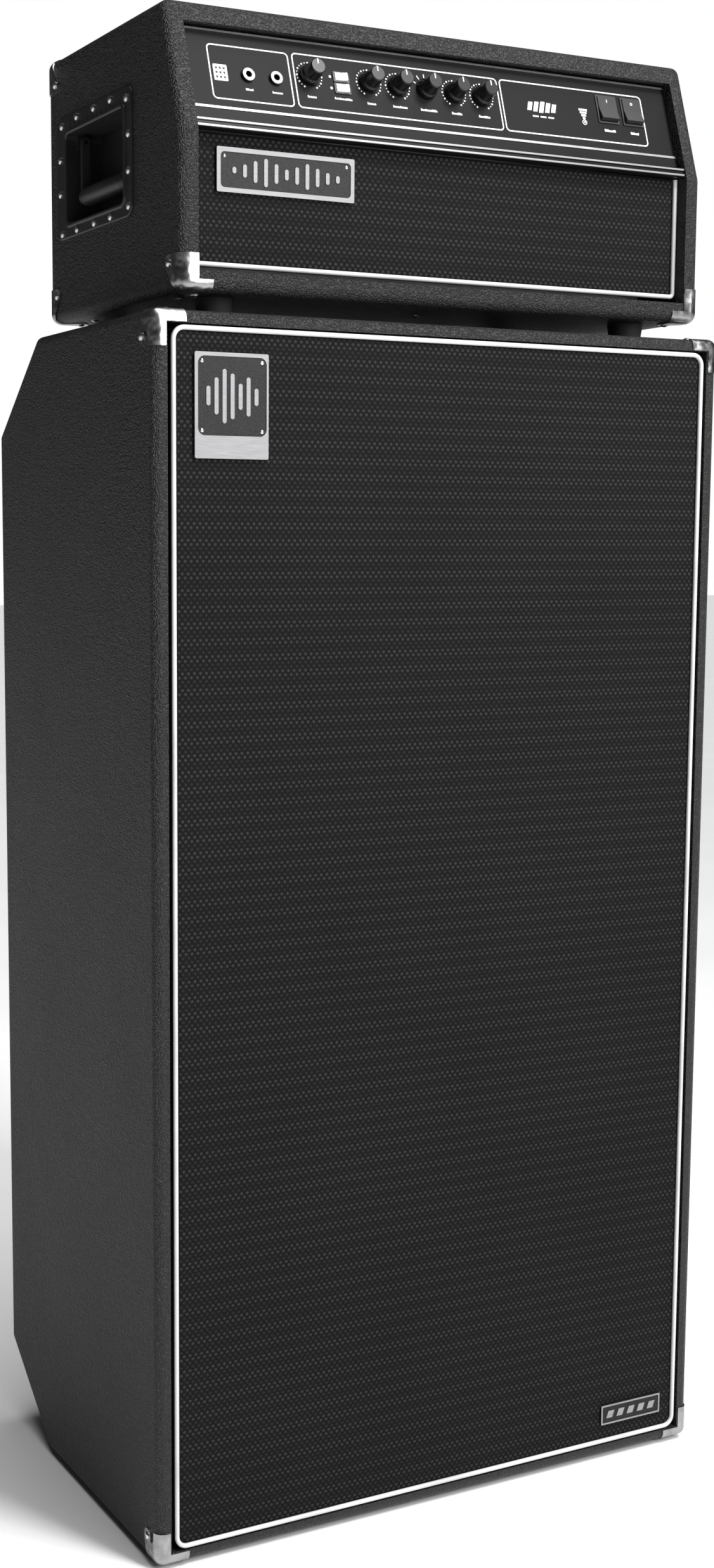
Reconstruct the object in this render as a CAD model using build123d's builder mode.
from build123d import *
import os
from math import atan2, cos, radians, sin

os.makedirs("parts", exist_ok=True)

# ---------------------------------------------------------------- dimensions
# millimetres, +Z up, +X to the player's right when facing the front, -Y is the
# front.  The speaker cabinet's front plane lies at Y = y0, its underside at z0.

# speaker cabinet
cab_w, cab_d, cab_h = 660.4, 406.4, 1219.2
cab_side_t, cab_top_t, cab_back_t = 15.0, 12.5, 15.0
cab_bevel_d = 113.9            # depth of both rear bevels
cab_bevel_low, cab_bevel_top = 90.0, 96.4
cab_edge_r = 9.0
glide_h = 5.0
rail_t = 12.0                  # skid rails stand out of the back by this much

# amplifier head
head_w, head_d, head_h = 609.6, 324.0, 270.0
head_wall = 19.5
head_kink = 148.0              # height where the front starts to lean back
head_lean = 39.0               # how far the top front edge stands back
head_edge_r = 10.0
head_foot_h = 19.0
head_dx, head_dy = 10.0, 16.0  # where the head stands on the cabinet

# piping, grilles, panel
pipe_r = 2.3
cab_pipe_in, cab_pipe_top = 21.3, 16.5
head_pipe_in, head_pipe_low = 21.9, 27.5
panel_rec = 12.0               # control panel below the lip's slanted plane
panel_t = 3.0

# ten-inch speakers, two columns of four
spk_dx = 155.0
spk_rows = [161.75, 460.25, 758.75, 1057.25]
shelf_rows = [311.0, 609.6, 908.0]
baffle_y, baffle_t = 34.0, 19.0

# controls: distances along the panel from the head's middle, and up its slope
knob_x = {"gain": -150.4, "bass": -84.0, "midrange": -51.0, "frequency": -18.0,
          "treble": 15.0, "master": 48.0}
knob_s = 73.0
knob_h = 19.5
shaft_r = 3.0
jack_x, jack_s, jack_r = [-218.3, -188.3], 65.5, 3.2
led_x, led_s = 173.7, 58.5
mini_x, mini_s = -115.3, {"hi": 75.0, "lo": 63.0}
mini_l, mini_w = 14.5, 7.6
big_x, big_s = {"standby": 205.0, "power": 237.0}, 75.5
big_l, big_w = 27.0, 22.0
rock_deg = 8.0

# side handles, measured from the head's front plane and underside
dish_y, dish_z = (104.0, 295.0), (82.0, 206.0)
dish_open_y, dish_open_z = (120.0, 266.0), (96.0, 186.0)
dish_depth = 40.0
bail_y, bail_z = (131.0, 255.0), (178.0, 122.0)
bail_in = 12.0                 # pivot's depth below the side face

# rear fittings
wheel_r, wheel_w, wheel_x = 27.0, 24.0, 252.0
wheel_y, wheel_z = 380.0, 30.0
bar_r, bar_half, bar_off = 11.0, 212.0, 40.0

y0 = -(0.95 - pipe_r + cab_d + rail_t) / 2   # the whole object is centred on Y = 0
z0 = glide_h
hy0 = y0 + head_dy
hz0 = z0 + cab_h + head_foot_h

lean = atan2(head_lean, head_h - head_kink)
sl, cl = sin(lean), cos(lean)


# ------------------------------------------------------------------- planes
def cab_front(y):
    """Facing the player; sketches use (X, height above the cabinet's underside)."""
    return Plane(origin=(0, y0 + y, z0), x_dir=(1, 0, 0), z_dir=(0, -1, 0))


def cab_side(x):
    """Looking along -X; sketches use (depth, height)."""
    return Plane(origin=(x, y0, z0), x_dir=(0, 1, 0), z_dir=(1, 0, 0))


def cab_flat(z):
    return Plane(origin=(0, y0, z0 + z), x_dir=(1, 0, 0), z_dir=(0, 0, 1))


def head_front(y):
    return Plane(origin=(head_dx, hy0 + y, hz0), x_dir=(1, 0, 0), z_dir=(0, -1, 0))


def head_side(x):
    return Plane(origin=(head_dx + x, hy0, hz0), x_dir=(0, 1, 0), z_dir=(1, 0, 0))


def head_flat(z):
    return Plane(origin=(head_dx, hy0, hz0 + z), x_dir=(1, 0, 0), z_dir=(0, 0, 1))


def panel(h):
    """Parallel to the control panel, h in front of its face; (X, up the slope)."""
    d = panel_rec - h
    return Plane(origin=(head_dx, hy0 + d * cl, hz0 + head_kink - d * sl),
                 x_dir=(1, 0, 0), z_dir=(0, -cl, sl))


bevel_low_dir = (0, 90.0 / 145.17, -113.9 / 145.17)
bevel_top_dir = (0, 96.4 / 149.22, 113.9 / 149.22)
bevel_low_mid = (cab_d - cab_bevel_d / 2, cab_bevel_low / 2)
bevel_top_mid = (cab_d - cab_bevel_d / 2, cab_h - cab_bevel_top / 2)


def bevel_low(x):
    return Plane(origin=(x, y0 + bevel_low_mid[0], z0 + bevel_low_mid[1]),
                 x_dir=(1, 0, 0), z_dir=bevel_low_dir)


def bevel_top(x):
    return Plane(origin=(x, y0 + bevel_top_mid[0], z0 + bevel_top_mid[1]),
                 x_dir=(1, 0, 0), z_dir=bevel_top_dir)


def slab(x, y, z, mode=Mode.ADD):
    """Box between two corners given as (low, high) pairs, inside a part block."""
    with Locations(((x[0] + x[1]) / 2, (y[0] + y[1]) / 2, (z[0] + z[1]) / 2)):
        Box(x[1] - x[0], y[1] - y[0], z[1] - z[0], mode=mode)


def head_slab(x, y, z, mode=Mode.ADD):
    slab((x[0] + head_dx, x[1] + head_dx), (y[0] + hy0, y[1] + hy0),
         (z[0] + hz0, z[1] + hz0), mode)


def cab_slab(x, y, z, mode=Mode.ADD):
    slab(x, (y[0] + y0, y[1] + y0), (z[0] + z0, z[1] + z0), mode)


def at(plane, *points):
    """Locations on a plane that carry the plane's own tilt."""
    return [plane.location * Location((p[0], p[1], 0)) for p in points]


# ------------------------------------------------- outer forms of the two boxes
cab_profile = [(0, 0), (cab_d - cab_bevel_d, 0), (cab_d, cab_bevel_low),
               (cab_d, cab_h - cab_bevel_top), (cab_d - cab_bevel_d, cab_h), (0, cab_h)]
head_profile = [(0, 0), (head_d, 0), (head_d, head_h), (head_lean, head_h), (0, head_kink)]


def blank(plane, profile, width, radius, grow):
    """The full box with rounded edges, grown outwards by a given amount."""
    with BuildPart() as form:
        with BuildSketch(plane):
            with BuildLine():
                Polyline(*profile, close=True)
            make_face()
            if grow > 0:
                offset(amount=grow, kind=Kind.INTERSECTION)
        extrude(amount=width + 2 * grow)
        fillet(form.edges(), radius=radius + grow)
    return form.part


cab_form = blank(cab_side(-cab_w / 2), cab_profile, cab_w, cab_edge_r, 0)
head_form = blank(head_side(-head_w / 2), head_profile, head_w, head_edge_r, 0)
cap_t = 1.2
cab_grown = blank(cab_side(-cab_w / 2 - cap_t), cab_profile, cab_w, cab_edge_r, cap_t)
head_grown = blank(head_side(-head_w / 2 - cap_t), head_profile, head_w, head_edge_r, cap_t)

# ------------------------------------------------------------ screw prototypes
with BuildPart() as pan_screw:      # head on z = 0, shank below
    with BuildSketch(Plane.XZ):
        with BuildLine():
            Polyline((0, 2.2), (0, -12), (1.6, -12), (1.6, 0), (3.9, 0), (3.9, 0.7))
            ThreePointArc((3.9, 0.7), (2.4, 1.85), (0, 2.2))
        make_face()
    revolve(axis=Axis.Z)
    with Locations((0, 0, 1.9)):
        Box(4.2, 0.8, 1.6, mode=Mode.SUBTRACT)
        Box(0.8, 4.2, 1.6, mode=Mode.SUBTRACT)

def place(proto, locations):
    """Copies of a finished piece at the given locations, inside a part block."""
    with Locations(*locations):
        add(proto)


# ================================================================ the cabinet
with BuildPart() as cab_cabinet:
    add(cab_form)
    # inside: straight walls, with the two rear bevels followed at wall thickness
    with BuildSketch(cab_side(-cab_w / 2 + cab_side_t)):
        with BuildLine():
            Polyline((-5, cab_top_t), (284.1, cab_top_t), (391.4, 97.3), (391.4, 1115.8),
                     (284.0, cab_h - cab_top_t), (-5, cab_h - cab_top_t), close=True)
        make_face()
    extrude(amount=cab_w - 2 * cab_side_t, mode=Mode.SUBTRACT)
    # opening behind the connector plate
    cab_slab((-52, 52), (380, 420), (824, 896), Mode.SUBTRACT)

with BuildPart() as cab_baffle:
    with BuildSketch(cab_front(baffle_y + baffle_t)):
        with Locations((0, cab_h / 2)):
            Rectangle(629.6, 1193.6)
        with Locations(*[(s * spk_dx, z) for s in (-1, 1) for z in spk_rows]):
            Circle(117, mode=Mode.SUBTRACT)
    extrude(amount=baffle_t)

with BuildPart() as cab_partitions:
    for zc in shelf_rows:
        cab_slab((-315, 315), (baffle_y + baffle_t, 391.4), (zc - 6, zc + 6))

# ---- one speaker, local +Z runs back into the cabinet from the baffle's face
with BuildPart() as basket_one:
    with BuildSketch(Plane.XZ):
        with BuildLine():
            Polyline((112, -3), (129.5, -3), (129.5, 0), (116.4, 0), (116.4, 4), (62, 66),
                     (62, 69), (48, 69), (48, 66.4), (60, 66.4), (113.6, 3.6), (112, 0), close=True)
        make_face()
    revolve(axis=Axis.Z)
    with BuildSketch(Plane.XY.offset(15)):
        with PolarLocations(0, 6):
            Polygon((60, -20), (125, -42), (125, 42), (60, 20), align=None)
    extrude(amount=40, mode=Mode.SUBTRACT)

with BuildPart() as magnet_one:
    with BuildSketch(Plane.XZ):
        with BuildLine():
            Polyline((0, 69), (24.4, 69), (24.4, 93), (35, 93), (35, 75.5), (27.6, 75.5), (27.6, 69),
                     (55, 69), (55, 75.5), (62, 75.5), (62, 94), (57, 94), (57, 100), (0, 100), close=True)
        make_face()
    revolve(axis=Axis.Z)

with BuildPart() as cone_one:       # voice-coil former, cone and dust cap in one turning
    with BuildSketch(Plane.XZ):
        with BuildLine():
            Polyline((25.4, 88), (26.2, 88), (26.2, 46.2), (98, 0.6), (98, -1.0), (34.0, 39.4),
                     (30.0, 35.6), (20.0, 31.2), (10.0, 29.2), (0, 28.6), (0, 29.8), (9.8, 30.4),
                     (19.6, 32.4), (29.2, 36.8), (32.6, 40.2), (26.0, 44.4), (25.4, 44.4), close=True)
        make_face()
    revolve(axis=Axis.Z)

with BuildPart() as surround_one:
    with BuildSketch(Plane.XZ):
        with BuildLine():
            ThreePointArc((98.3, -3.4), (103.7, -8.8), (109.1, -3.4))
            Line((109.1, -3.4), (128, -3.4))
            Line((128, -3.4), (128, -3.0))
            Line((128, -3.0), (108.3, -3.0))
            Line((108.3, -3.0), (108.3, -3.4))
            ThreePointArc((108.3, -3.4), (103.7, -8.0), (99.1, -3.4))
            Line((99.1, -3.4), (99.1, 0.2))
            Line((99.1, 0.2), (98.3, 0.2))
            Line((98.3, 0.2), (98.3, -3.4))
        make_face()
    revolve(axis=Axis.Z)
    with BuildSketch(Plane.XZ):     # gasket ring glued on the flange
        with Locations((120.5, -4.7)):
            Rectangle(15, 2.6)
    revolve(axis=Axis.Z)

spk_locs = [Plane(origin=(s * spk_dx, y0 + baffle_y, z0 + z), x_dir=(1, 0, 0), z_dir=(0, 1, 0)).location
            for s in (-1, 1) for z in spk_rows]

with BuildPart() as speaker_baskets:
    place(basket_one.part, spk_locs)
with BuildPart() as speaker_magnets:
    place(magnet_one.part, spk_locs)
with BuildPart() as speaker_cones:
    place(cone_one.part, spk_locs)
with BuildPart() as speaker_surrounds:
    place(surround_one.part, spk_locs)

# ---- front grille
frame_hw = cab_w / 2 - cab_pipe_in + 0.8
with BuildPart() as cab_grille_frame:
    with BuildSketch(cab_front(15.3)):
        with Locations((0, cab_h / 2)):
            RectangleRounded(2 * frame_hw, cab_h - 2 * (cab_pipe_top - 0.8), 11)
        for lo, hi in ((39.8, 301), (321, 599.6), (619.6, 898), (918, 1179.4)):
            with Locations((-(frame_hw - 14) / 2, (lo + hi) / 2), ((frame_hw - 14) / 2, (lo + hi) / 2)):
                Rectangle(frame_hw - 34, hi - lo, mode=Mode.SUBTRACT)
    extrude(amount=12)
    for zc in (28.0, 311.0, 609.6, 908.0, 1191.0):      # spacer blocks onto the baffle
        for s in (-1, 1):
            cab_slab((s * 298 - 8, s * 298 + 8), (15.3, baffle_y), (zc - 10, zc + 10))

with BuildPart() as cab_grille_cloth:
    with BuildSketch(cab_front(3.3)):
        with Locations((0, cab_h / 2)):
            RectangleRounded(2 * (cab_w / 2 - cab_pipe_in - pipe_r - 0.2),
                             cab_h - 2 * (cab_pipe_top + pipe_r + 0.2), 8.5)
    extrude(amount=1.5)

with BuildPart() as cab_piping:
    # closed welt: four straight runs joined by quarter turns
    px, pz, pr = cab_w / 2 - cab_pipe_in, cab_pipe_top, 11.0
    with BuildLine(cab_front(0.95)):
        FilletPolyline((0, pz), (px, pz), (px, cab_h - pz), (-px, cab_h - pz), (-px, pz), (-0.02, pz), radius=pr)
    with BuildSketch(Plane(origin=(0, y0 + 0.95, z0 + pz), x_dir=(0, 1, 0), z_dir=(1, 0, 0))):
        Circle(pipe_r)
    sweep()

# ---- plates on the front cloth
badge_c, badge_size = (-249.2, 1132.5), (77.4, 97.8)
with BuildPart() as cab_badge:
    with BuildSketch(cab_front(1.5)):
        with Locations(badge_c):
            RectangleRounded(*badge_size, 1.6)
    extrude(amount=2.4)
    with BuildSketch(cab_front(-0.9)):
        with Locations((badge_c[0] + 0.6, 1141.3)):
            RectangleRounded(72.0, 73.0, 7)
    extrude(amount=-0.7, mode=Mode.SUBTRACT)
    with BuildSketch(cab_front(-0.2)):      # upright bars of differing heights
        for i, h in enumerate((18, 34, 50, 42, 24, 36, 16)):
            with Locations((badge_c[0] + 0.6 + (i - 3) * 8.4, 1141.3)):
                SlotOverall(h, 4.2, rotation=90)
    extrude(amount=0.7)

name_c = (249.6, 46.4)
with BuildPart() as cab_nameplate:
    with BuildSketch(cab_front(1.5)):
        with Locations(name_c):
            RectangleRounded(80.5, 22, 1.0)
    extrude(amount=2.2)
    with BuildSketch(cab_front(-0.7)):
        with Locations(name_c):
            RectangleRounded(77.0, 18.5, 1.0)
    extrude(amount=-0.6, mode=Mode.SUBTRACT)
    with BuildSketch(cab_front(-0.1)):
        with Locations(*[(name_c[0] + dx, name_c[1]) for dx in (-28, -14, 0, 14, 28)]):
            Polygon((-5.5, -4), (2.5, -4), (5.5, 4), (-2.5, 4), align=None)
    extrude(amount=0.6)

# ---- chrome corner caps: the side and top (or bottom) tabs meet in a narrow
#      L that frames the corner of the open front
def tab(along, into, points, screw, r):
    """One tab of a cap: a leg on the open edge and a round end under its screw, drawn from the corner."""
    pts = [(along * a, into * b) for a, b in points]
    Polygon(*(pts if along * into > 0 else pts[::-1]), align=None)
    with Locations((along * screw[0], into * screw[1])):
        Circle(r)


cab_tab = ((-8, -8), (23, -8), (24.5, 0), (30.4, 22), (23, 24.5), (14, 19.5), (9, 24), (8, 34), (-8, 34))
head_tab = ((-8, -8), (12, -8), (13, 2), (18, 9), (27, 20.5), (23, 27), (23, 34.5), (-8, 34.5))
cab_corner_z = {1: cab_h, -1: 0.0}
with BuildPart() as cab_skin:
    add(cab_grown)
    add(cab_form, mode=Mode.SUBTRACT)

cab_tab_screws = []
for sx in (-1, 1):
    for sz in (-1, 1):
        zc = cab_corner_z[sz]
        side_pl = Plane(origin=(sx * (cab_w / 2 + cap_t), y0, z0 + zc), x_dir=(0, 1, 0), z_dir=(sx, 0, 0))
        flat_pl = Plane(origin=(sx * cab_w / 2, y0, z0 + zc + sz * cap_t), x_dir=(1, 0, 0), z_dir=(0, 0, sz))
        cab_tab_screws.append(Location(Plane(origin=(sx * (cab_w / 2 + cap_t), y0 + 23.0, z0 + zc - sz * 24.5),
                                             x_dir=(0, 1, 0), z_dir=(sx, 0, 0))))
        cab_tab_screws.append(Location(Plane(origin=(sx * (cab_w / 2 - 24.0), y0 + 23.0, z0 + zc + sz * cap_t),
                                             x_dir=(1, 0, 0), z_dir=(0, 0, sz))))

with BuildPart() as cab_corners:
    for sx in (-1, 1):
        for sz in (-1, 1):
            zc = cab_corner_z[sz]
            with BuildSketch(cab_side(sx * cab_w / 2)):
                with Locations((0, zc)):
                    tab(1, -sz, cab_tab, (23.0, 24.5), 7.4)
            extrude(amount=13.5, both=True)
            with BuildSketch(cab_flat(zc)):
                with Locations((sx * cab_w / 2, 0)):
                    tab(-sx, 1, [(b, a) for a, b in cab_tab][::-1], (24.0, 23.0), 7.4)
            extrude(amount=11.5, both=True)
    add(cab_skin.part, mode=Mode.INTERSECT)
    with Locations(*cab_tab_screws):
        Cylinder(1.8, 8, mode=Mode.SUBTRACT)

# ---- rear fittings
rail_x = 205.0
rail_screws = [(s * rail_x, z) for s in (-1, 1) for z in (170, 609.6, 1050)]
plate_screws = [(s * 58, z) for s in (-1, 1) for z in (826, 894)]
with BuildPart() as skid_rails:
    with BuildSketch(cab_front(cab_d)):
        with Locations((-rail_x, 609.6), (rail_x, 609.6)):
            SlotOverall(950, 32, rotation=90)
    extrude(amount=-rail_t)
    fillet(skid_rails.faces().sort_by(Axis.Y)[-2:].edges(), radius=4)
    for x, z in rail_screws:
        with Locations(Location(Plane(origin=(x, y0 + cab_d + rail_t, z0 + z), x_dir=(-1, 0, 0), z_dir=(0, 1, 0)))):
            CounterBoreHole(radius=1.8, counter_bore_radius=5.0, counter_bore_depth=4.0, depth=rail_t)

with BuildPart() as jack_plate:
    with BuildSketch(cab_front(cab_d)):
        with Locations((0, 860)):
            RectangleRounded(132, 92, 5)
        with Locations(*plate_screws):
            Circle(1.8, mode=Mode.SUBTRACT)
        with Locations((-30, 880), (30, 880), (-30, 840), (30, 840)):
            Circle(5.0, mode=Mode.SUBTRACT)
    extrude(amount=-2.0)

with BuildPart() as jack_one:       # panel jack: +Z points out of the panel
    with BuildSketch(Plane.XZ):
        with BuildLine():
            Polyline((jack_r, 3.0), (6.4, 3.0), (6.9, 2.5), (6.9, 0), (4.9, 0), (4.9, -3.0), (8.0, -3.0),
                     (8.0, -20), (jack_r, -20), close=True)
        make_face()
    revolve(axis=Axis.Z)

cab_jack_locs = [Location(Plane(origin=(x, y0 + cab_d + 2.0, z0 + z), x_dir=(-1, 0, 0), z_dir=(0, 1, 0)))
                 for x in (-30, 30) for z in (840, 880)]

with BuildPart() as wheel_brackets:
    for s in (-1, 1):
        # base plate on the bevel, two ears, and the axle between them
        with BuildSketch(bevel_low(s * wheel_x)):
            RectangleRounded(58, 70, 5)
        extrude(amount=2.5)
        for e in (-1, 1):
            with BuildSketch(cab_side(s * wheel_x + e * 16.2 - 1.5)):
                with BuildLine():
                    Polyline((322.5, 23.0), (377.0, 66.5), (389.5, 30.0), (380.0, 20.5), (370.5, 22.0), close=True)
                make_face()
            extrude(amount=3.0)
        with BuildSketch(cab_side(s * wheel_x - 21)):
            with Locations((wheel_y, wheel_z)):
                Circle(4.0)
        extrude(amount=42)
    for s in (-1, 1):
        with Locations(*at(bevel_low(s * wheel_x), (-24, -29), (24, -29), (-24, 29), (24, 29))):
            Cylinder(1.8, 12, mode=Mode.SUBTRACT)

with BuildPart() as wheel_one:
    with BuildSketch(Plane.XZ):
        with BuildLine():
            Polyline((4.05, -14), (9, -14), (9, -9), (19, -9), (21, -wheel_w / 2), (wheel_r - 2.5, -wheel_w / 2))
            ThreePointArc((wheel_r - 2.5, -wheel_w / 2), (wheel_r, 0), (wheel_r - 2.5, wheel_w / 2))
            Polyline((wheel_r - 2.5, wheel_w / 2), (21, wheel_w / 2), (19, 9), (9, 9), (9, 14), (4.05, 14), (4.05, -14))
        make_face()
    revolve(axis=Axis.Z)

with BuildPart() as wheel_left:
    place(wheel_one.part, [Location(Plane(origin=(-wheel_x, y0 + wheel_y, z0 + wheel_z), x_dir=(0, 1, 0), z_dir=(1, 0, 0)))])
with BuildPart() as wheel_right:
    place(wheel_one.part, [Location(Plane(origin=(wheel_x, y0 + wheel_y, z0 + wheel_z), x_dir=(0, 1, 0), z_dir=(1, 0, 0)))])

bar_y = bevel_top_mid[0] + bar_off * bevel_top_dir[1]
bar_z = bevel_top_mid[1] + bar_off * bevel_top_dir[2]
with BuildPart() as towel_bar_posts:
    for s in (-1, 1):
        with BuildSketch(bevel_top(s * 214)):
            RectangleRounded(50, 66, 6)
        extrude(amount=5)
        with BuildSketch(bevel_top(s * 214)):
            RectangleRounded(28, 30, 5)
        extrude(amount=bar_off)
        with BuildSketch(cab_side(s * 214 - 14)):
            with Locations((bar_y, bar_z)):
                Circle(15.5)
        extrude(amount=28)
    for s in (-1, 1):
        with Locations(*at(bevel_top(s * 214), (-19, -26), (19, -26), (-19, 26), (19, 26))):
            Cylinder(1.8, 14, mode=Mode.SUBTRACT)
    with BuildSketch(cab_side(-bar_half)):
        with Locations((bar_y, bar_z)):
            Circle(bar_r)
    extrude(amount=2 * bar_half, mode=Mode.SUBTRACT)

with BuildPart() as towel_bar:
    with BuildSketch(cab_side(-bar_half)):
        with Locations((bar_y, bar_z)):
            Circle(bar_r)
            Circle(bar_r - 2.0, mode=Mode.SUBTRACT)
    extrude(amount=2 * bar_half)

with BuildPart() as rubber_feet:
    for s in (-1, 1):
        for y in (55, 268):                 # glides under the cabinet
            with Locations((s * 270, y0 + y, glide_h / 2)):
                Cone(15, 17, glide_h)
        for y in (48, 290):                 # tall feet under the head
            with Locations((head_dx + s * 246, hy0 + y, hz0 - head_foot_h / 2)):
                Cone(16, 19, head_foot_h)

cab_other_screws = ([Location(Plane(origin=(x, y0 + cab_d + rail_t - 4.0, z0 + z), x_dir=(-1, 0, 0), z_dir=(0, 1, 0)))
                     for x, z in rail_screws]
                    + [Location(Plane(origin=(x, y0 + cab_d + 2.0, z0 + z), x_dir=(-1, 0, 0), z_dir=(0, 1, 0)))
                       for x, z in plate_screws]
                    + [loc for s in (-1, 1) for loc in
                       at(bevel_low(s * wheel_x).offset(2.5), (-24, -29), (24, -29), (-24, 29), (24, 29))]
                    + [loc for s in (-1, 1) for loc in
                       at(bevel_top(s * 214).offset(5), (-19, -26), (19, -26), (-19, 26), (19, 26))])
with BuildPart() as cab_screws:
    place(pan_screw.part, cab_tab_screws + cab_other_screws)

# =================================================================== the head
with BuildPart() as head_cabinet:
    add(head_form)
    head_slab((-head_w / 2 + head_wall, head_w / 2 - head_wall), (-20, head_d + 20),
              (head_wall, head_h - head_wall), Mode.SUBTRACT)
    for s in (-1, 1):               # side openings for the handle dishes
        with BuildSketch(head_side(s * head_w / 2)):
            with Locations(((dish_open_y[0] + dish_open_y[1]) / 2, (dish_open_z[0] + dish_open_z[1]) / 2)):
                RectangleRounded(dish_open_y[1] - dish_open_y[0] + 5, dish_open_z[1] - dish_open_z[0] + 5, 8)
        extrude(amount=25, both=True, mode=Mode.SUBTRACT)

# ---- lower grille
hg_hw = head_w / 2 - head_pipe_in + 0.8
hg_lo, hg_hi = head_pipe_low - 0.8, 148.8
grille_y = 16.0                     # piping's depth behind the head's front plane
with BuildPart() as head_grille_frame:
    with BuildSketch(head_front(grille_y + 14.4)):
        with Locations((0, (hg_lo + hg_hi) / 2)):
            Rectangle(2 * hg_hw, hg_hi - hg_lo)
        with Locations((-183, 88), (0, 88), (183, 88)):
            Rectangle(160, 82, mode=Mode.SUBTRACT)
    extrude(amount=12)
    for s in (-1, 1):               # battens that fix the grille to the side walls
        head_slab((min(s * 262, s * 285.3), max(s * 262, s * 285.3)), (grille_y + 14.4, grille_y + 28), (30, 145))

with BuildPart() as head_grille_cloth:
    with BuildSketch(head_front(grille_y + 2.4)) as head_cloth_sk:
        with Locations((0, (hg_lo + 3.4 + hg_hi - 0.4) / 2)):
            Rectangle(2 * (hg_hw - 3.4), hg_hi - 0.4 - hg_lo - 3.4)
        fillet(head_cloth_sk.vertices().group_by(Axis.Z)[0], radius=2)
    extrude(amount=1.5)

with BuildPart() as head_piping:
    hpx = head_w / 2 - head_pipe_in
    with BuildLine(head_front(grille_y)):
        FilletPolyline((-hpx, 148.4), (-hpx, head_pipe_low), (hpx, head_pipe_low), (hpx, 148.4), radius=4)
    with BuildSketch(Plane(origin=(head_dx - hpx, hy0 + grille_y, hz0 + 148.4), x_dir=(1, 0, 0), z_dir=(0, 0, -1))):
        Circle(pipe_r)
    sweep()

hb_c, hb_size = (-185.1, 115.1), (148.9, 41.2)
with BuildPart() as head_badge:
    with BuildSketch(head_front(grille_y + 0.6)):
        with Locations(hb_c):
            RectangleRounded(*hb_size, 1.5)
    extrude(amount=2.6)
    with BuildSketch(head_front(grille_y - 2.0)):
        with Locations(hb_c):
            RectangleRounded(140.9, 32.7, 4)
    extrude(amount=-0.8, mode=Mode.SUBTRACT)
    with BuildSketch(head_front(grille_y - 1.2)):   # rising and falling bars
        for i, h in enumerate((6, 12, 20, 26, 18, 10, 16, 24, 17, 11, 7)):
            with Locations((hb_c[0] + (i - 5) * 11.2, hb_c[1])):
                SlotOverall(h, 4.0, rotation=90)
    extrude(amount=0.8)

# ---- moulding above the grille, dark fascia and edge strips of the panel
in_hw = head_w / 2 - head_wall - 0.3
with BuildPart() as grille_moulding:
    with BuildSketch(head_side(-in_hw)):
        with BuildLine():
            Polyline((5.5, 149.4), (3.6, 150.2), (3.6, 153.2), (5.6, 153.8), (5.6, 155.4), (4.8, 156.0),
                     (4.8, 158.8), (6.6, 159.6), (12.0, 159.6), (12.0, 153.4), (17.6, 153.4), (17.6, 149.4), close=True)
        make_face()
    extrude(amount=2 * in_hw)

with BuildPart() as panel_trim:
    with BuildSketch(panel(0)):                 # bright strip along the panel's foot
        with Locations((0, 28.6)):
            Rectangle(2 * in_hw, 2.4)
    extrude(amount=1.6)
    with BuildSketch(panel(0)):                 # thinner strip along its top
        with Locations((0, 107.4)):
            Rectangle(2 * in_hw, 2.0)
    extrude(amount=1.6)

with BuildPart() as lower_fascia:
    with BuildSketch(panel(1.5)):
        with Locations((0, 19.5)):
            Rectangle(2 * in_hw, 14.4)
    extrude(amount=-3.0)

bezel_hi_lo = [(mini_x, mini_s["hi"]), (mini_x, mini_s["lo"])]
bezel_big = [(big_x["standby"], big_s), (big_x["power"], big_s)]
with BuildPart() as control_panel:
    with BuildSketch(panel(-panel_t)):
        with Locations((0, 68.0)):
            Rectangle(2 * in_hw, 81.2)
        with Locations(*[(x, knob_s) for x in knob_x.values()]):
            Circle(5.0, mode=Mode.SUBTRACT)
        with Locations(*[(x, jack_s) for x in jack_x]):
            Circle(4.95, mode=Mode.SUBTRACT)
        with Locations((led_x, led_s)):
            Circle(1.6, mode=Mode.SUBTRACT)
        with Locations(*bezel_hi_lo):
            Rectangle(mini_l + 2.0, mini_w + 1.6, mode=Mode.SUBTRACT)
        with Locations(*bezel_big):
            Rectangle(big_w + 2.6, big_l + 2.6, mode=Mode.SUBTRACT)
    extrude(amount=panel_t)

# ---- knobs, each with its own shaft
with BuildPart() as knob_one:       # local z = 0 on the panel's face
    with BuildSketch(Plane.XZ):
        with BuildLine():
            Polyline((0, knob_h), (0, 12), (shaft_r + 0.02, 12), (shaft_r + 0.02, 2.2), (10.6, 2.2), (10.9, 2.8),
                     (10.4, 5.4), (9.0, 7.2), (7.9, knob_h - 1.0), (7.0, knob_h), close=True)
        make_face()
    revolve(axis=Axis.Z)
    with BuildSketch(Plane.XY.offset(6.6)):     # finger flutes around the waist
        with PolarLocations(10.1, 18):
            Circle(1.05)
    extrude(amount=9.5, mode=Mode.SUBTRACT)
    with BuildSketch(Plane.XY.offset(knob_h)):  # sunken pointer groove on the cap
        with Locations((0, 4.6)):
            Rectangle(1.2, 5.2)
    extrude(amount=-0.5, mode=Mode.SUBTRACT)
    with Locations((0, 0, 12 - 11.0)):
        Cylinder(shaft_r, 22.0)

with BuildPart() as pot_one:        # bushing and nut through the panel, can behind it
    with BuildSketch(Plane.XZ):
        with BuildLine():
            Polyline((3.05, 1.8), (6.6, 1.8), (6.6, 0), (4.8, 0), (4.8, -panel_t), (12.0, -panel_t - 0.4),
                     (12.0, -14.5), (0, -14.5), (0, -12.2), (3.05, -12.2), close=True)
        make_face()
    revolve(axis=Axis.Z)

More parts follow.
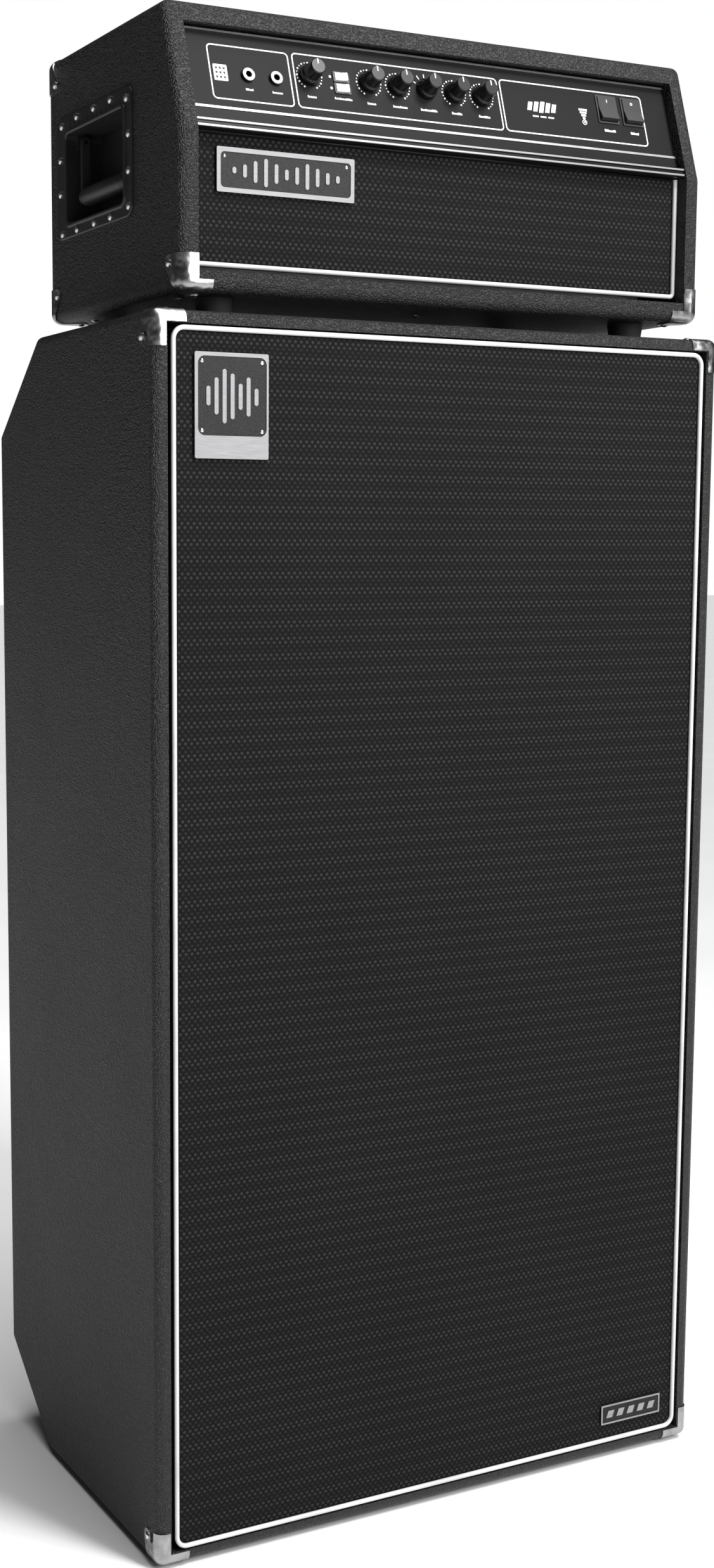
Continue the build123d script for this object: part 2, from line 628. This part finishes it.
knob_parts = {}
for name, x in knob_x.items():
    with BuildPart() as one:
        place(knob_one.part, at(panel(0), (x, knob_s)))
    knob_parts[name] = one
knob_gain, knob_bass, knob_midrange = knob_parts["gain"], knob_parts["bass"], knob_parts["midrange"]
knob_frequency, knob_treble, knob_master = knob_parts["frequency"], knob_parts["treble"], knob_parts["master"]

with BuildPart() as potentiometers:
    place(pot_one.part, at(panel(0), *[(x, knob_s) for x in knob_x.values()]))


# ---- rocker switches: a drum sector with two flats, turned about its pin
def rocker(length, width, tilt):
    """Local X is the rocking direction, local Z points out of the panel."""
    r = length / 2
    rise = r * sin(radians(rock_deg)) / cos(radians(rock_deg))
    with BuildPart() as key:
        with BuildSketch(Plane.XZ):
            Circle(r)
            with BuildLine():
                Polyline((-r - 1, r + 1), (-r - 1, 2.4 + rise), (0, 2.4), (r + 1, 2.4 + rise), (r + 1, r + 1), close=True)
            make_face(mode=Mode.SUBTRACT)
            with Locations((0, -r)):
                Rectangle(2.2 * r, 2 * (r - 5.0), mode=Mode.SUBTRACT)
        extrude(amount=width / 2, both=True)
        with BuildSketch(Plane.XZ):
            with Locations((0, -1.5)):
                Circle(1.3)
        extrude(amount=width, both=True, mode=Mode.SUBTRACT)
    return key.part.rotate(Axis((0, 0, -1.5), (0, 1, 0)), tilt)


def key_location(x, s, upright):
    """The switch's own frame on the panel; its X runs up the slope when upright."""
    p = panel(0)
    o = p.from_local_coords((x, s, 0))
    return Location(Plane(origin=o, x_dir=(0, sl, cl) if upright else (1, 0, 0), z_dir=(0, -cl, sl)))


mini_key = rocker(mini_l, mini_w, -rock_deg)
big_key = rocker(big_l, big_w, rock_deg)
with BuildPart() as ultra_hi_rocker:
    place(mini_key, [key_location(mini_x, mini_s["hi"], False)])
with BuildPart() as ultra_lo_rocker:
    place(mini_key, [key_location(mini_x, mini_s["lo"], False)])
with BuildPart() as standby_rocker:
    place(big_key, [key_location(big_x["standby"], big_s, True)])
with BuildPart() as power_rocker:
    place(big_key, [key_location(big_x["power"], big_s, True)])


def bezel(length, width, collar):
    """Thin collar on the panel, walls through it, and the fixed pin."""
    with BuildPart() as cup:
        with BuildSketch(Plane.XY):
            RectangleRounded(length + collar, width + collar, 1.2)
            Rectangle(length + 0.9, width + 0.5, mode=Mode.SUBTRACT)
        extrude(amount=1.2)
        with BuildSketch(Plane.XY):
            Rectangle(length + 1.8, width + 1.4)
            Rectangle(length + 0.9, width + 0.5, mode=Mode.SUBTRACT)
        extrude(amount=-length / 2 - 2.5)
        with BuildSketch(Plane.XY.offset(-length / 2 - 2.5)):
            Rectangle(length + 1.8, width + 1.4)
        extrude(amount=1.5)
        with BuildSketch(Plane.XZ):
            with Locations((0, -1.5)):
                Circle(1.25)
        extrude(amount=width / 2 + 0.4, both=True)
    return cup.part


mini_cup, big_cup = bezel(mini_l, mini_w, 3.2), bezel(big_l, big_w, 4.4)
with BuildPart() as rocker_bezels:
    place(mini_cup, [key_location(mini_x, s, False) for s in mini_s.values()])
    place(big_cup, [key_location(x, big_s, True) for x in big_x.values()])

with BuildPart() as input_jacks:
    place(jack_one.part, at(panel(0), *[(x, jack_s) for x in jack_x]))

with BuildPart() as status_led:
    with BuildSketch(panel(-8)):
        with Locations((led_x, led_s)):
            Circle(1.5)
    extrude(amount=8.6)
    fillet(status_led.faces().sort_by(Axis.Y)[0].edges(), radius=0.6)

# ---- sheet-metal chassis behind the panel and on the floor of the head
with BuildPart() as preamp_chassis:
    with BuildSketch(head_side(-257)):
        with BuildLine():
            Polyline((31.0, 172.0), (150, 172.0), (150, 246.5), (148.5, 246.5), (148.5, 173.5), (31.0, 173.5), close=True)
        make_face()
    extrude(amount=514)
    for s in (-1, 1):
        with BuildSketch(head_side(s * 256.2 - 0.8)):
            with BuildLine():
                Polyline((31.0, 172.0), (148.5, 172.0), (148.5, 246.5), (52.0, 246.5), (29.5, 177.0), close=True)
            make_face()
        extrude(amount=1.6)

deck_z = 30.0
tube_xy = [(-40 + 46 * i, yy) for i in range(3) for yy in (150, 205)]
small_xy = [(-120, 118), (-84, 118), (-48, 100), (-12, 100)]
with BuildPart() as power_chassis:
    with BuildSketch(head_side(-262)):
        with BuildLine():
            Polyline((48, head_wall), (49.5, head_wall), (49.5, deck_z - 1.5), (300.5, deck_z - 1.5),
                     (300.5, head_wall), (302, head_wall), (302, 96), (300.5, 96), (300.5, deck_z),
                     (48, deck_z), close=True)
        make_face()
    extrude(amount=524)
    # sockets' holes in the rear wall
    with BuildSketch(head_front(302)):
        with Locations((-218, 62)):
            Rectangle(27.6, 20.2, mode=Mode.ADD)
        with Locations((-178, 62), (-150, 62)):
            Circle(6.6, mode=Mode.ADD)
        with Locations((20, 62), (60, 62), (110, 62), (150, 62)):
            Circle(4.95, mode=Mode.ADD)
        with Locations((205, 62)):
            Circle(11.6, mode=Mode.ADD)
    extrude(amount=5, both=True, mode=Mode.SUBTRACT)

with BuildPart() as rear_sockets:
    place(jack_one.part, cab_jack_locs)
    for x in (20, 60, 110, 150):
        place(jack_one.part, [Location(Plane(origin=(head_dx + x, hy0 + 302, hz0 + 62), x_dir=(-1, 0, 0), z_dir=(0, 1, 0)))])
    # mains inlet with three blades in a recessed well
    with BuildSketch(head_front(302)):
        with Locations((-218, 62)):
            RectangleRounded(40, 28, 3)
    extrude(amount=-3)
    with BuildSketch(head_front(302)):
        with Locations((-218, 62)):
            Rectangle(27.2, 19.8)
    extrude(amount=22)
    with BuildSketch(head_front(305)):
        with Locations((-218, 62)):
            RectangleRounded(24.4, 16.6, 3)
    extrude(amount=18, mode=Mode.SUBTRACT)
    for dx, dz in ((-7, -1.5), (7, -1.5), (0, 2.5)):
        head_slab((-218 + dx - 1, -218 + dx + 1), (284, 301), (62 + dz - 2.0, 62 + dz + 2.0))
    # two round fuse caps
    for x in (-178, -150):
        with BuildSketch(head_front(302)):
            with Locations((x, 62)):
                Circle(8.5)
        extrude(amount=-6)
        with BuildSketch(head_front(302)):
            with Locations((x, 62)):
                Circle(6.4)
        extrude(amount=26)
    # round balanced-line socket
    with BuildSketch(head_front(302)):
        with Locations((205, 62)):
            RectangleRounded(26, 31, 3)
    extrude(amount=-2)
    with BuildSketch(head_front(304)):
        with Locations((205, 62)):
            Circle(11.4)
    extrude(amount=20)
    with BuildSketch(head_front(304)):
        with Locations((205, 62)):
            Circle(9.4)
    extrude(amount=14, mode=Mode.SUBTRACT)
    for a in (0, 120, 240):
        with BuildSketch(head_front(292)):
            with Locations((205 + 5.2 * sin(radians(a)), 62 + 5.2 * cos(radians(a)))):
                Circle(1.1)
        extrude(amount=-10)

with BuildPart() as transformers:
    # mains transformer, then the output transformer: laminated stacks with
    # winding covers and foot flanges
    head_slab((-235, -125), (150, 240), (deck_z + 14, deck_z + 74))
    head_slab((-240, -120), (158, 232), (deck_z, deck_z + 14))
    head_slab((-218, -142), (160, 230), (deck_z + 74, deck_z + 100))
    head_slab((128, 212), (140, 222), (deck_z + 10, deck_z + 62))
    head_slab((124, 216), (146, 216), (deck_z, deck_z + 10))
    head_slab((140, 200), (150, 212), (deck_z + 62, deck_z + 82))
    fillet(transformers.edges().filter_by(Axis.Z), radius=3)

with BuildPart() as tube_one:       # base with key, bulb above
    with BuildSketch(Plane.XZ):
        with BuildLine():
            Polyline((0, 0), (16.5, 0), (16.5, 20), (19.5, 26), (20.4, 44), (19.4, 72), (17.6, 81),
                     (13.2, 88), (7.0, 92), (0, 93), close=True)
        make_face()
    revolve(axis=Axis.Z)
with BuildPart() as tube_small:
    with BuildSketch(Plane.XZ):
        with BuildLine():
            Polyline((0, 0), (10.5, 0), (10.5, 40), (9.2, 44.5), (5.8, 47.8), (0, 49), close=True)
        make_face()
    revolve(axis=Axis.Z)

with BuildPart() as vacuum_tubes:
    place(tube_one.part, [Location((head_dx + x, hy0 + y, hz0 + deck_z + 8)) for x, y in tube_xy])
    place(tube_small.part, [Location((head_dx + x, hy0 + y, hz0 + deck_z + 8)) for x, y in small_xy])

    for x, y in tube_xy:                # the sockets they stand in
        with Locations((head_dx + x, hy0 + y, hz0 + deck_z + 3.95)):
            Cylinder(19, 7.9)
    for x, y in small_xy:
        with Locations((head_dx + x, hy0 + y, hz0 + deck_z + 3.95)):
            Cylinder(12, 7.9)

with BuildPart() as circuit_board:
    head_slab((-235, 235), (64, 140), (181.0, 182.6))
    for x in (-220, -70, 70, 220):              # stand-offs
        for y in (72, 132):
            with Locations((head_dx + x, hy0 + y, hz0 + 177.25)):
                Cylinder(3, 7.5)
    for i in range(12):                         # a row of components
        head_slab((-200 + i * 34, -188 + i * 34), (88 + 9 * (i % 3), 104 + 9 * (i % 3)), (182.6, 190.6))
    for x in (-205, -175, 175, 205):            # upright filter capacitors
        with Locations((head_dx + x, hy0 + 122, hz0 + 182.6 + 17.5)):
            Cylinder(8, 35)

fan_c, fan_y = (-60.0, 70.2), 262.0
with BuildPart() as fan_frame:
    with BuildSketch(head_front(fan_y + 25)):
        with Locations(fan_c):
            RectangleRounded(80, 80, 4)
            Circle(37.5, mode=Mode.SUBTRACT)
    extrude(amount=25)
    with BuildSketch(head_front(fan_y + 25)):   # spider that carries the hub
        with Locations(fan_c):
            Circle(16)
            for a in (20, 110, 200, 290):
                Rectangle(78, 3.2, rotation=a)
    extrude(amount=3)
    with BuildSketch(head_front(fan_y + 22)):
        with Locations(fan_c):
            Circle(2.0)
    extrude(amount=16)

with BuildPart() as fan_impeller:
    with BuildSketch(head_front(fan_y + 21.2)):
        with Locations(fan_c):
            Circle(16)
    extrude(amount=17)
    with BuildSketch(head_front(fan_y + 16)):
        with Locations(fan_c):
            for i in range(7):
                with PolarLocations(24.5, 1, start_angle=i * 360 / 7):
                    Rectangle(20, 4.5, rotation=0)
    extrude(amount=8)
    with BuildSketch(head_front(fan_y + 24)):
        with Locations(fan_c):
            Circle(2.05)
    extrude(amount=18.2, mode=Mode.SUBTRACT)

with BuildPart() as head_back_grille:
    with BuildSketch(head_front(312)):
        with Locations((0, 174)):
            Rectangle(2 * in_hw, 152)
    extrude(amount=-1.6)
    with BuildSketch(head_front(315)):
        with Locations((0, 174)):
            with GridLocations(22, 13, 24, 10):
                SlotOverall(16, 5, mode=Mode.ADD)
    extrude(amount=8, mode=Mode.SUBTRACT)
    for s in (-1, 1):               # folded side flanges against the walls
        head_slab((min(s * 272, s * in_hw), max(s * 272, s * in_hw)), (304.0, 312), (98, 250))

# ---- side handles
dish_rim = 2.4


def dish(sx):
    """Local frame: looking at the side face, u = depth, v = height."""
    face = head_side(sx * head_w / 2)
    ou = (dish_y[0] + dish_y[1]) / 2
    ov = (dish_z[0] + dish_z[1]) / 2
    cu = (dish_open_y[0] + dish_open_y[1]) / 2
    cv = (dish_open_z[0] + dish_open_z[1]) / 2
    cw = dish_open_y[1] - dish_open_y[0]
    ch = dish_open_z[1] - dish_open_z[0]
    with BuildPart() as body:
        with BuildSketch(face):
            with Locations((ou, ov)):
                RectangleRounded(dish_y[1] - dish_y[0], dish_z[1] - dish_z[0], 12)
        extrude(amount=sx * dish_rim)
        rim = body.faces().sort_by(Axis.X)[-1 if sx > 0 else 0]
        fillet(rim.edges(), radius=1.6)
        with BuildSketch(face):
            with Locations((cu, cv)):
                RectangleRounded(cw + 4, ch + 4, 7.5)
        extrude(amount=-sx * dish_depth)
        # the well, its mouth slightly wider than its floor
        with BuildSketch(face.offset(sx * dish_rim), face.offset(-sx * (dish_depth - 2.5))) as mouths:
            with Locations((cu, cv)):
                RectangleRounded(cw, ch, 6)
        extrude(to_extrude=mouths.sketch.faces().sort_by(Axis.X)[0], amount=dish_depth - 2.5 + dish_rim,
                dir=(1, 0, 0), mode=Mode.SUBTRACT)
    return body.part


dish_parts = {}
bail_parts = {}
for sx in (-1, 1):
    wall = head_dx + sx * head_w / 2
    pivot_x = wall - sx * bail_in
    with BuildPart() as one:
        add(dish(sx))
        # ribs and pivot pins at the two ends of the bail
        for y, d in ((bail_y[0] - 4.2, -1), (bail_y[1] + 4.2, 1)):
            edge = dish_open_y[0] if d < 0 else dish_open_y[1]
            lo, hi = min(y, edge), max(y, edge)
            slab((pivot_x - 5.5, pivot_x + 5.5), (hy0 + lo, hy0 + hi), (hz0 + bail_z[0] - 5.5, hz0 + dish_open_z[1]))
            with BuildSketch(Plane(origin=(pivot_x, hy0 + y - d * 7.0, hz0 + bail_z[0]), x_dir=(1, 0, 0), z_dir=(0, d, 0))):
                Circle(2.5)
            extrude(amount=8.0)
        # two raised ribs on the floor of the well
        floor_x = wall - sx * (dish_depth - 2.5)
        for zc in (128.0, 160.0):
            slab((min(floor_x, floor_x + sx * 1.2), max(floor_x, floor_x + sx * 1.2)),
                 (hy0 + 150, hy0 + 236), (hz0 + zc - 1.2, hz0 + zc + 1.2))
    dish_parts[sx] = one
    with BuildPart() as one:
        # two flat arms and a round grip between them
        for y in (bail_y[0], bail_y[1] - 6.0):
            with BuildSketch(Plane(origin=(pivot_x, hy0 + y, hz0), x_dir=(1, 0, 0), z_dir=(0, 1, 0))):
                # sketch Y runs down, so heights are negated
                with BuildLine():
                    Polyline((-4.2, -bail_z[0]), (4.2, -bail_z[0]), (4.2, -bail_z[1]), (-4.2, -bail_z[1]), close=True)
                make_face()
                with Locations((0, -bail_z[0])):
                    Circle(4.2)
            extrude(amount=6.0)
        with BuildSketch(Plane(origin=(pivot_x, hy0 + bail_y[0], hz0 + bail_z[1]), x_dir=(1, 0, 0), z_dir=(0, 1, 0))):
            Circle(7.0)
        extrude(amount=bail_y[1] - bail_y[0])
        fillet(one.edges().filter_by(GeomType.CIRCLE).filter_by(lambda e: abs(e.radius - 7.0) < 0.01), radius=1.5)
        with BuildSketch(Plane(origin=(pivot_x, hy0 + bail_y[0] - 1, hz0 + bail_z[0]), x_dir=(1, 0, 0), z_dir=(0, 1, 0))):
            Circle(2.55)
        extrude(amount=bail_y[1] - bail_y[0] + 2, mode=Mode.SUBTRACT)
    bail_parts[sx] = one

dish_screw_yz = ([(115, 194), (154, 200), (196, 200), (240, 200), (280, 197)]
                 + [(110.5, z) for z in (160, 125.5, 92)] + [(y, 88) for y in (155, 196, 241, 280)]
                 + [(284.5, 163.5), (284.5, 129)])
dish_screws = {sx: [Location(Plane(origin=(head_dx + sx * (head_w / 2 + dish_rim), hy0 + y, hz0 + z),
                                   x_dir=(0, 1, 0), z_dir=(sx, 0, 0))) for y, z in dish_screw_yz] for sx in (-1, 1)}
with BuildPart() as handle_dish_left:
    add(dish_parts[-1].part)
    with Locations(*dish_screws[-1]):
        Cylinder(1.8, 10, mode=Mode.SUBTRACT)
with BuildPart() as handle_dish_right:
    add(dish_parts[1].part)
    with Locations(*dish_screws[1]):
        Cylinder(1.8, 10, mode=Mode.SUBTRACT)
handle_grip_left, handle_grip_right = bail_parts[-1], bail_parts[1]

# ---- chrome corner caps of the head: both lower front corners, all four rear ones
with BuildPart() as head_skin:
    add(head_grown)
    add(head_form, mode=Mode.SUBTRACT)
head_corner_list = [(sx, fy, sz) for sx in (-1, 1) for fy, sz in ((0, -1), (1, -1), (1, 1))]
head_tab_screws = []
for sx, fy, sz in head_corner_list:
    yc = fy * head_d
    zc = head_h if sz > 0 else 0.0
    into = 1 if fy == 0 else -1
    head_tab_screws.append(Location(Plane(origin=(head_dx + sx * (head_w / 2 + cap_t), hy0 + yc + into * 23, hz0 + zc - sz * 27),
                                          x_dir=(0, 1, 0), z_dir=(sx, 0, 0))))
    head_tab_screws.append(Location(Plane(origin=(head_dx + sx * (head_w / 2 - 26), hy0 + yc + into * 23, hz0 + zc + sz * cap_t),
                                          x_dir=(1, 0, 0), z_dir=(0, 0, sz))))
def into_y(fy):
    """Which way the cabinet lies from its front (0) or back (1) face."""
    return 1 if fy == 0 else -1


with BuildPart() as head_corners:
    for sx, fy, sz in head_corner_list:
        yc = fy * head_d
        zc = head_h if sz > 0 else 0.0
        with BuildSketch(head_side(sx * head_w / 2)):
            with Locations((yc, zc)):
                tab(into_y(fy), -sz, head_tab, (23.0, 27.0), 7.5)
        extrude(amount=19.3, both=True)
        with BuildSketch(head_flat(zc)):
            with Locations((sx * head_w / 2, yc)):
                tab(-sx, into_y(fy), [(b, a) for a, b in head_tab][::-1], (26.0, 23.0), 7.5)
        extrude(amount=11.0, both=True)
    add(head_skin.part, mode=Mode.INTERSECT)
    with Locations(*head_tab_screws):
        Cylinder(1.8, 8, mode=Mode.SUBTRACT)

head_other_screws = ([Location((head_dx + s * 269, hy0 + 57, hz0 + head_h)) for s in (-1, 1)]
                     + [Location(Plane(origin=(head_dx + x, hy0 + y, hz0), x_dir=(1, 0, 0), z_dir=(0, 0, -1)))
                        for x, y in ((-276, 62), (0, 78), (272, 62), (-279, 262), (279, 262))])
with BuildPart() as head_screws:
    place(pan_screw.part, head_tab_screws + head_other_screws + dish_screws[-1] + dish_screws[1])

# ================================================================= STEP files
cab_cabinet.part.label = "cab_cabinet"
export_step(cab_cabinet.part, "parts/cab_cabinet.step")
cab_baffle.part.label = "cab_baffle"
export_step(cab_baffle.part, "parts/cab_baffle.step")
cab_partitions.part.label = "cab_partitions"
export_step(cab_partitions.part, "parts/cab_partitions.step")
speaker_baskets.part.label = "speaker_baskets"
export_step(speaker_baskets.part, "parts/speaker_baskets.step")
speaker_magnets.part.label = "speaker_magnets"
export_step(speaker_magnets.part, "parts/speaker_magnets.step")
speaker_cones.part.label = "speaker_cones"
export_step(speaker_cones.part, "parts/speaker_cones.step")
speaker_surrounds.part.label = "speaker_surrounds"
export_step(speaker_surrounds.part, "parts/speaker_surrounds.step")
cab_grille_frame.part.label = "cab_grille_frame"
export_step(cab_grille_frame.part, "parts/cab_grille_frame.step")
cab_grille_cloth.part.label = "cab_grille_cloth"
export_step(cab_grille_cloth.part, "parts/cab_grille_cloth.step")
cab_piping.part.label = "cab_piping"
export_step(cab_piping.part, "parts/cab_piping.step")
cab_badge.part.label = "cab_badge"
export_step(cab_badge.part, "parts/cab_badge.step")
cab_nameplate.part.label = "cab_nameplate"
export_step(cab_nameplate.part, "parts/cab_nameplate.step")
cab_corners.part.label = "cab_corners"
export_step(cab_corners.part, "parts/cab_corners.step")
cab_screws.part.label = "cab_screws"
export_step(cab_screws.part, "parts/cab_screws.step")
skid_rails.part.label = "skid_rails"
export_step(skid_rails.part, "parts/skid_rails.step")
jack_plate.part.label = "jack_plate"
export_step(jack_plate.part, "parts/jack_plate.step")
wheel_brackets.part.label = "wheel_brackets"
export_step(wheel_brackets.part, "parts/wheel_brackets.step")
wheel_left.part.label = "wheel_left"
export_step(wheel_left.part, "parts/wheel_left.step")
wheel_right.part.label = "wheel_right"
export_step(wheel_right.part, "parts/wheel_right.step")
towel_bar.part.label = "towel_bar"
export_step(towel_bar.part, "parts/towel_bar.step")
towel_bar_posts.part.label = "towel_bar_posts"
export_step(towel_bar_posts.part, "parts/towel_bar_posts.step")
rubber_feet.part.label = "rubber_feet"
export_step(rubber_feet.part, "parts/rubber_feet.step")

head_cabinet.part.label = "head_cabinet"
export_step(head_cabinet.part, "parts/head_cabinet.step")
head_grille_frame.part.label = "head_grille_frame"
export_step(head_grille_frame.part, "parts/head_grille_frame.step")
head_grille_cloth.part.label = "head_grille_cloth"
export_step(head_grille_cloth.part, "parts/head_grille_cloth.step")
head_piping.part.label = "head_piping"
export_step(head_piping.part, "parts/head_piping.step")
head_badge.part.label = "head_badge"
export_step(head_badge.part, "parts/head_badge.step")
grille_moulding.part.label = "grille_moulding"
export_step(grille_moulding.part, "parts/grille_moulding.step")
lower_fascia.part.label = "lower_fascia"
export_step(lower_fascia.part, "parts/lower_fascia.step")
panel_trim.part.label = "panel_trim"
export_step(panel_trim.part, "parts/panel_trim.step")
control_panel.part.label = "control_panel"
export_step(control_panel.part, "parts/control_panel.step")
knob_gain.part.label = "knob_gain"
export_step(knob_gain.part, "parts/knob_gain.step")
knob_bass.part.label = "knob_bass"
export_step(knob_bass.part, "parts/knob_bass.step")
knob_midrange.part.label = "knob_midrange"
export_step(knob_midrange.part, "parts/knob_midrange.step")
knob_frequency.part.label = "knob_frequency"
export_step(knob_frequency.part, "parts/knob_frequency.step")
knob_treble.part.label = "knob_treble"
export_step(knob_treble.part, "parts/knob_treble.step")
knob_master.part.label = "knob_master"
export_step(knob_master.part, "parts/knob_master.step")
potentiometers.part.label = "potentiometers"
export_step(potentiometers.part, "parts/potentiometers.step")
ultra_hi_rocker.part.label = "ultra_hi_rocker"
export_step(ultra_hi_rocker.part, "parts/ultra_hi_rocker.step")
ultra_lo_rocker.part.label = "ultra_lo_rocker"
export_step(ultra_lo_rocker.part, "parts/ultra_lo_rocker.step")
standby_rocker.part.label = "standby_rocker"
export_step(standby_rocker.part, "parts/standby_rocker.step")
power_rocker.part.label = "power_rocker"
export_step(power_rocker.part, "parts/power_rocker.step")
rocker_bezels.part.label = "rocker_bezels"
export_step(rocker_bezels.part, "parts/rocker_bezels.step")
input_jacks.part.label = "input_jacks"
export_step(input_jacks.part, "parts/input_jacks.step")
status_led.part.label = "status_led"
export_step(status_led.part, "parts/status_led.step")
preamp_chassis.part.label = "preamp_chassis"
export_step(preamp_chassis.part, "parts/preamp_chassis.step")
power_chassis.part.label = "power_chassis"
export_step(power_chassis.part, "parts/power_chassis.step")
rear_sockets.part.label = "rear_sockets"
export_step(rear_sockets.part, "parts/rear_sockets.step")
vacuum_tubes.part.label = "vacuum_tubes"
export_step(vacuum_tubes.part, "parts/vacuum_tubes.step")
circuit_board.part.label = "circuit_board"
export_step(circuit_board.part, "parts/circuit_board.step")
fan_frame.part.label = "fan_frame"
export_step(fan_frame.part, "parts/fan_frame.step")
fan_impeller.part.label = "fan_impeller"
export_step(fan_impeller.part, "parts/fan_impeller.step")
head_back_grille.part.label = "head_back_grille"
export_step(head_back_grille.part, "parts/head_back_grille.step")
handle_dish_left.part.label = "handle_dish_left"
export_step(handle_dish_left.part, "parts/handle_dish_left.step")
handle_dish_right.part.label = "handle_dish_right"
export_step(handle_dish_right.part, "parts/handle_dish_right.step")
handle_grip_left.part.label = "handle_grip_left"
export_step(handle_grip_left.part, "parts/handle_grip_left.step")
handle_grip_right.part.label = "handle_grip_right"
export_step(handle_grip_right.part, "parts/handle_grip_right.step")
transformers.part.label = "transformers"
export_step(transformers.part, "parts/transformers.step")
head_corners.part.label = "head_corners"
export_step(head_corners.part, "parts/head_corners.step")
head_screws.part.label = "head_screws"
export_step(head_screws.part, "parts/head_screws.step")
